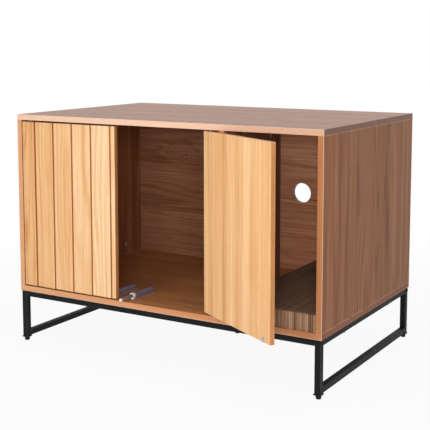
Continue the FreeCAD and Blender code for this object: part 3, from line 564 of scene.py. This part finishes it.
def makeSpring():
    low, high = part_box("right_latch_spring")
    radius = (high[0] - low[0]) / 2 - latchCoil["wire"]
    length = high[1] - low[1] - 2 * latchCoil["wire"]
    middle = ((low[0] + high[0]) / 2, low[1] + latchCoil["wire"], (low[2] + high[2]) / 2)
    bpy.ops.object.select_all(action="DESELECT")
    bpy.ops.mesh.primitive_circle_add(vertices=latchCoil["sides"], radius=latchCoil["wire"],
                                      location=(radius, 0, 0), rotation=(math.pi / 2, 0, 0))
    coil = bpy.context.object
    coil.name = "pressedSpring"
    bpy.ops.object.transform_apply(location=True, rotation=True, scale=True)
    screw = coil.modifiers.new("wind", "SCREW")
    screw.axis = "Z"
    screw.screw_offset = length / latchCoil["turns"]
    screw.iterations = latchCoil["turns"]
    screw.steps = screw.render_steps = latchCoil["steps"]
    screw.use_merge_vertices = True
    bpy.ops.object.modifier_apply(modifier="wind")
    bpy.ops.object.mode_set(mode="EDIT")
    bpy.ops.mesh.select_all(action="DESELECT")
    bpy.ops.mesh.select_mode(type="EDGE")
    bpy.ops.mesh.select_non_manifold()  # the two open ends of the wire
    bpy.ops.mesh.edge_face_add()
    bpy.ops.mesh.select_all(action="SELECT")
    bpy.ops.mesh.normals_make_consistent(inside=False)
    bpy.ops.object.mode_set(mode="OBJECT")
    coil.location = middle
    coil.rotation_euler = (-math.pi / 2, 0, 0)
    bpy.ops.object.transform_apply(location=True, rotation=True, scale=True)
    bpy.ops.object.shade_smooth_by_angle(angle=latchCoil["smooth"])
    full = high[1] - low[1]
    return coil, (middle[0], high[1], middle[2]), (full - latchCoil["travel"]) / full


pressedSpring, springSeat, springKeep = makeSpring()
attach(pressedSpring, "cabinet")
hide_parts("right_latch_spring")
pressedSpring.data.materials.clear()
pressedSpring.data.materials.append(steel.material)
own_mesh(pressedSpring)
print("latch spring wound:", len(pressedSpring.data.polygons), "faces")


# scratching pad: strips of corrugated board on edge, glued side by side

padBoard = {"layers": 50, "paper": 0.32 * mm, "wave": 9 * mm, "steps": 6,  # steps in each wave
            "uneven": 0.22, "wearAndShade": 0.45 * mm, "ragged": 1.2 * mm, "seed": 7}


def addSheet(name, columns, middle, length, height):  # upright, in the plane of y and z
    bpy.ops.mesh.primitive_grid_add(x_subdivisions=columns, y_subdivisions=1, size=1, location=middle,
                                    rotation=(math.pi / 2, 0, math.pi / 2))
    sheet = bpy.context.object
    sheet.name = name
    sheet.scale = (length, height, 1)
    bpy.ops.object.transform_apply(location=True, rotation=True, scale=True)
    return sheet


def thicken(sheet, thickness):
    solidify = sheet.modifiers.new("paper", "SOLIDIFY")
    solidify.thickness = thickness
    solidify.offset = 0
    bpy.ops.object.modifier_apply(modifier="paper")


def trim(strip, front, back):  # cut off what stands out at both ends, and close the cuts
    bpy.ops.object.select_all(action="DESELECT")
    bpy.context.view_layer.objects.active = strip
    strip.select_set(True)
    for spot, outside in ((front, -1), (back, 1)):
        bpy.ops.object.mode_set(mode="EDIT")
        bpy.ops.mesh.select_all(action="SELECT")
        bpy.ops.mesh.bisect(plane_co=(0, spot, 0), plane_no=(0, outside, 0), use_fill=True,
                            clear_outer=True)
        bpy.ops.object.mode_set(mode="OBJECT")


def makePad():
    low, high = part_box("scratching_pad")
    pitch = (high[0] - low[0] - padBoard["paper"]) / padBoard["layers"]
    step = padBoard["wave"] / padBoard["steps"]
    columns = math.ceil((high[1] - low[1] + 2 * padBoard["wave"]) / step)
    middle = (0, (low[1] + high[1]) / 2, (low[2] + high[2]) / 2)
    flute = addSheet("padFlute", columns, middle, columns * step, high[2] - low[2])
    first = middle[1] - columns * step / 2
    reach = (pitch - 2 * padBoard["paper"]) / 2
    for turn in range(padBoard["steps"]):  # bend the sheet into waves, a column of each at a time
        for part in (flute.data.polygons, flute.data.edges):
            part.foreach_set("select", [False] * len(part))
        for vertex in flute.data.vertices:
            vertex.select = round((vertex.co.y - first) / step) % padBoard["steps"] == turn
        bpy.ops.object.mode_set(mode="EDIT")
        bpy.ops.mesh.select_mode(type="VERT")
        aside = reach * math.sin(2 * math.pi * (turn + 0.5) / padBoard["steps"])
        bpy.ops.transform.translate(value=(aside, 0, 0))
        bpy.ops.object.mode_set(mode="OBJECT")
    thicken(flute, padBoard["paper"])
    liner = addSheet("padLiner", 1, middle, high[1] - low[1], high[2] - low[2])
    thicken(liner, padBoard["paper"])

    chance = random.Random(padBoard["seed"])
    edges = [0.0]  # the strips are pressed unevenly, so each has its own thickness
    for layer in range(padBoard["layers"]):
        edges.append(edges[-1] + 1 + chance.uniform(-1, 1) * padBoard["uneven"])
    edges = [low[0] + padBoard["paper"] / 2 + edge / edges[-1] * pitch * padBoard["layers"]
             for edge in edges]
    strips = []
    for layer, edge in enumerate(edges):
        sheets = [(liner, edge, 1.0)]
        if layer < padBoard["layers"]:
            sheets.append((flute, (edge + edges[layer + 1]) / 2, (edges[layer + 1] - edge) / pitch))
        for sheet, spot, spread in sheets:
            strip = bpy.data.objects.new("padStrip", sheet.data.copy())
            bpy.context.scene.collection.objects.link(strip)
            wearAndShade = 1 - chance.uniform(0, padBoard["wearAndShade"]) / (high[2] - low[2])
            strip.location = (spot, chance.uniform(-0.5, 0.5) * padBoard["wave"] * (sheet is flute),
                              low[2] * (1 - wearAndShade))
            strip.scale = (spread, 1, wearAndShade)
            bpy.ops.object.select_all(action="DESELECT")
            strip.select_set(True)
            bpy.context.view_layer.objects.active = strip
            bpy.ops.object.transform_apply(location=True, rotation=True, scale=True)
            trim(strip, low[1] + chance.uniform(0, padBoard["ragged"]),
                 high[1] - chance.uniform(0, padBoard["ragged"]))
            strips.append(strip)
    bpy.data.objects.remove(flute)
    bpy.data.objects.remove(liner)
    for strip in strips:
        strip.select_set(True)
    bpy.context.view_layer.objects.active = strips[0]
    bpy.ops.object.join()
    strips[0].name = "corrugatedPad"
    return strips[0]


scratchingPad = makePad()
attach(scratchingPad, "pad")
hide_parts("scratching_pad")
print("pad strips made:", len(scratchingPad.data.polygons), "faces")

cardboard = {
    "stops": [(0.25, tint(126, 93, 70)), (0.5, tint(172, 135, 107)), (0.8, tint(210, 175, 146))],
    "pulp": 700.0, "pulpDepth": 0.6, "stripAcross": 210.0, "stripAlong": 3.0, "stripDepth": 1.1,
    "speck": 1600.0, "speckFrom": 0.66, "speckFull": 0.74,
    "speckColour": tint(104, 76, 56), "speckDepth": 0.5,
    # painted shade: the top of the strips is darkened, where the open cells lie in shade
    "topShadeFrom": 3.2 * mm, "topShadeFull": 1.8 * mm,  # below the top
    "wearAndShade": tint(113, 86, 69), "topShadeDepth": 0.8,
    "gloss": 0.15, "roughness": 0.85, "dull": 0.1, "relief": 0.15 * mm, "bump": 0.7,
}


def cardboardLook(board, topLevel):
    look = Look("kraftCardboard", Specular_IOR_Level=board["gloss"])
    spot = look.place()
    pulp = look.noise(spot, board["pulp"], roughness=0.7)
    specks = look.noise(spot, board["speck"], detail=1.0)
    specks = specks.between(board["speckFrom"], board["speckFull"])
    strip = look.add("ShaderNodeCombineXYZ", None, {
        "X": look.place(axisX) * board["stripAcross"],
        "Y": look.place(axisY) * board["stripAlong"]})
    strips = look.noise(strip, detail=2.0, roughness=0.6)
    tone = (pulp - 0.5) * board["pulpDepth"] + (strips - 0.5) * board["stripDepth"] + 0.5
    colour = look.ramp(tone, board["stops"])
    colour = look.blend(colour, board["speckColour"], specks * board["speckDepth"])
    top = look.place(axisZ).between(topLevel - board["topShadeFrom"], topLevel - board["topShadeFull"])
    colour = look.blend(colour, board["wearAndShade"], top * board["topShadeDepth"])  # painted shade: the top few mm of the strips are darker, as the open cells are in shade
    look.set("Base Color", colour)
    look.set("Roughness", board["roughness"] + (pulp - 0.5) * board["dull"])
    look.bump(pulp, board["relief"], board["bump"])
    return look


padFinish = cardboardLook(cardboard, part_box("scratching_pad")[1][2])
scratchingPad.data.materials.clear()
scratchingPad.data.materials.append(padFinish.material)
print("pad dressed")


# studio

studio = {
    "cameraPlace": (1.412, -2.2922, 0.854), "cameraTurn": 30.81, "cameraTilt": 6.51,
    "film": 36, "frame": 430, "focus": 979.3,  # film in mm; frame width and focal length in pixels
    "shiftX": -0.0037, "shiftY": -0.145,
    "floorSize": 60.0, "floorLevel": -0.4 * mm,
    "floorColour": tint(240, 240, 240), "floorRoughness": 0.9,
    "nearGlow": 0.92, "glowFrom": 0.7, "glowFull": 2.0, "ambient": 0.3,
    "aim": (0.0, 0.1, 0.4), "lamps": [
        {"name": "keyLamp", "place": (-0.41, -3.17, 0.75), "size": 0.7, "power": 28.0, "glare": False},
        {"name": "frontLamp", "place": (1.5, -2.44, 1.0), "size": 0.7, "power": 22.0, "glare": False},
        {"name": "lowLamp", "place": (1.15, -2.6, 0.8), "size": 0.7, "power": 14.0, "glare": False},
        {"name": "topLamp", "place": (0.2, -0.2, 3.0), "size": 2.0, "power": 16.0, "glare": True},
        {"name": "backLamp", "place": (-1.6, 3.0, 1.2), "size": 2.0, "power": 26.0, "glare": False},
    ],
}
cameraData = bpy.data.cameras.new("photoCamera")
cameraData.lens = studio["film"] * studio["focus"] / studio["frame"]
cameraData.sensor_width = studio["film"]
cameraData.shift_x = studio["shiftX"]
cameraData.shift_y = studio["shiftY"]
camera = bpy.data.objects.new("photoCamera", cameraData)
camera.location = studio["cameraPlace"]
camera.rotation_euler = (math.radians(90 - studio["cameraTilt"]), 0,
                         math.radians(studio["cameraTurn"]))
bpy.context.scene.collection.objects.link(camera)
bpy.context.scene.camera = camera

for lamp in studio["lamps"]:
    light = bpy.data.lights.new(lamp["name"], "AREA")
    light.shape = "SQUARE"
    light.size = lamp["size"]
    light.energy = lamp["power"]
    holder = bpy.data.objects.new(lamp["name"], light)
    holder.visible_glossy = lamp["glare"]
    holder.location = lamp["place"]
    sight = Vector(studio["aim"]) - Vector(lamp["place"])
    holder.rotation_euler = sight.to_track_quat("-Z", "Y").to_euler()
    bpy.context.scene.collection.objects.link(holder)

bpy.ops.mesh.primitive_plane_add(size=studio["floorSize"], location=(0, 0, studio["floorLevel"]))
floor = bpy.context.object
floor.name = "studioFloor"


def seenDirectly(look):  # 1 for the camera, for gloss and through glass
    rays = [look.add("ShaderNodeLightPath", output=kind)
            for kind in ("Is Camera Ray", "Is Glossy Ray", "Is Transmission Ray")]
    return rays[0].most(rays[1]).most(rays[2])


# near the object the floor keeps a little of the shadow, further out it is plain white
floorLook = Look("floorWhite", Base_Color=studio["floorColour"], Roughness=studio["floorRoughness"])
spot = floorLook.place()
away = floorLook.add("ShaderNodeVectorMath", {"operation": "LENGTH"}, {0: spot}, "Value")
away = away.between(studio["glowFrom"], studio["glowFull"])
glow = away * (1 - studio["nearGlow"]) + studio["nearGlow"]
glow = glow * seenDirectly(floorLook)
white = floorLook.add("ShaderNodeEmission")
lit = Wire(floorLook, floorLook.shader.outputs[0])
mixed = floorLook.add("ShaderNodeMixShader", None, {0: glow, 1: lit, 2: white})
floorLook.feed(floorLook.output.inputs["Surface"], mixed)
floor.data.materials.append(floorLook.material)

world = bpy.data.worlds.new("studioWorld")
bpy.context.scene.world = world
world.use_nodes = True
worldLook = Look("", world.node_tree)
background = world.node_tree.nodes["Background"]
background.inputs["Color"].default_value = (1, 1, 1, 1)
worldLook.feed(background.inputs["Strength"], seenDirectly(worldLook).most(studio["ambient"]))
bpy.context.scene.view_settings.view_transform = "Standard"
print("studio ready")
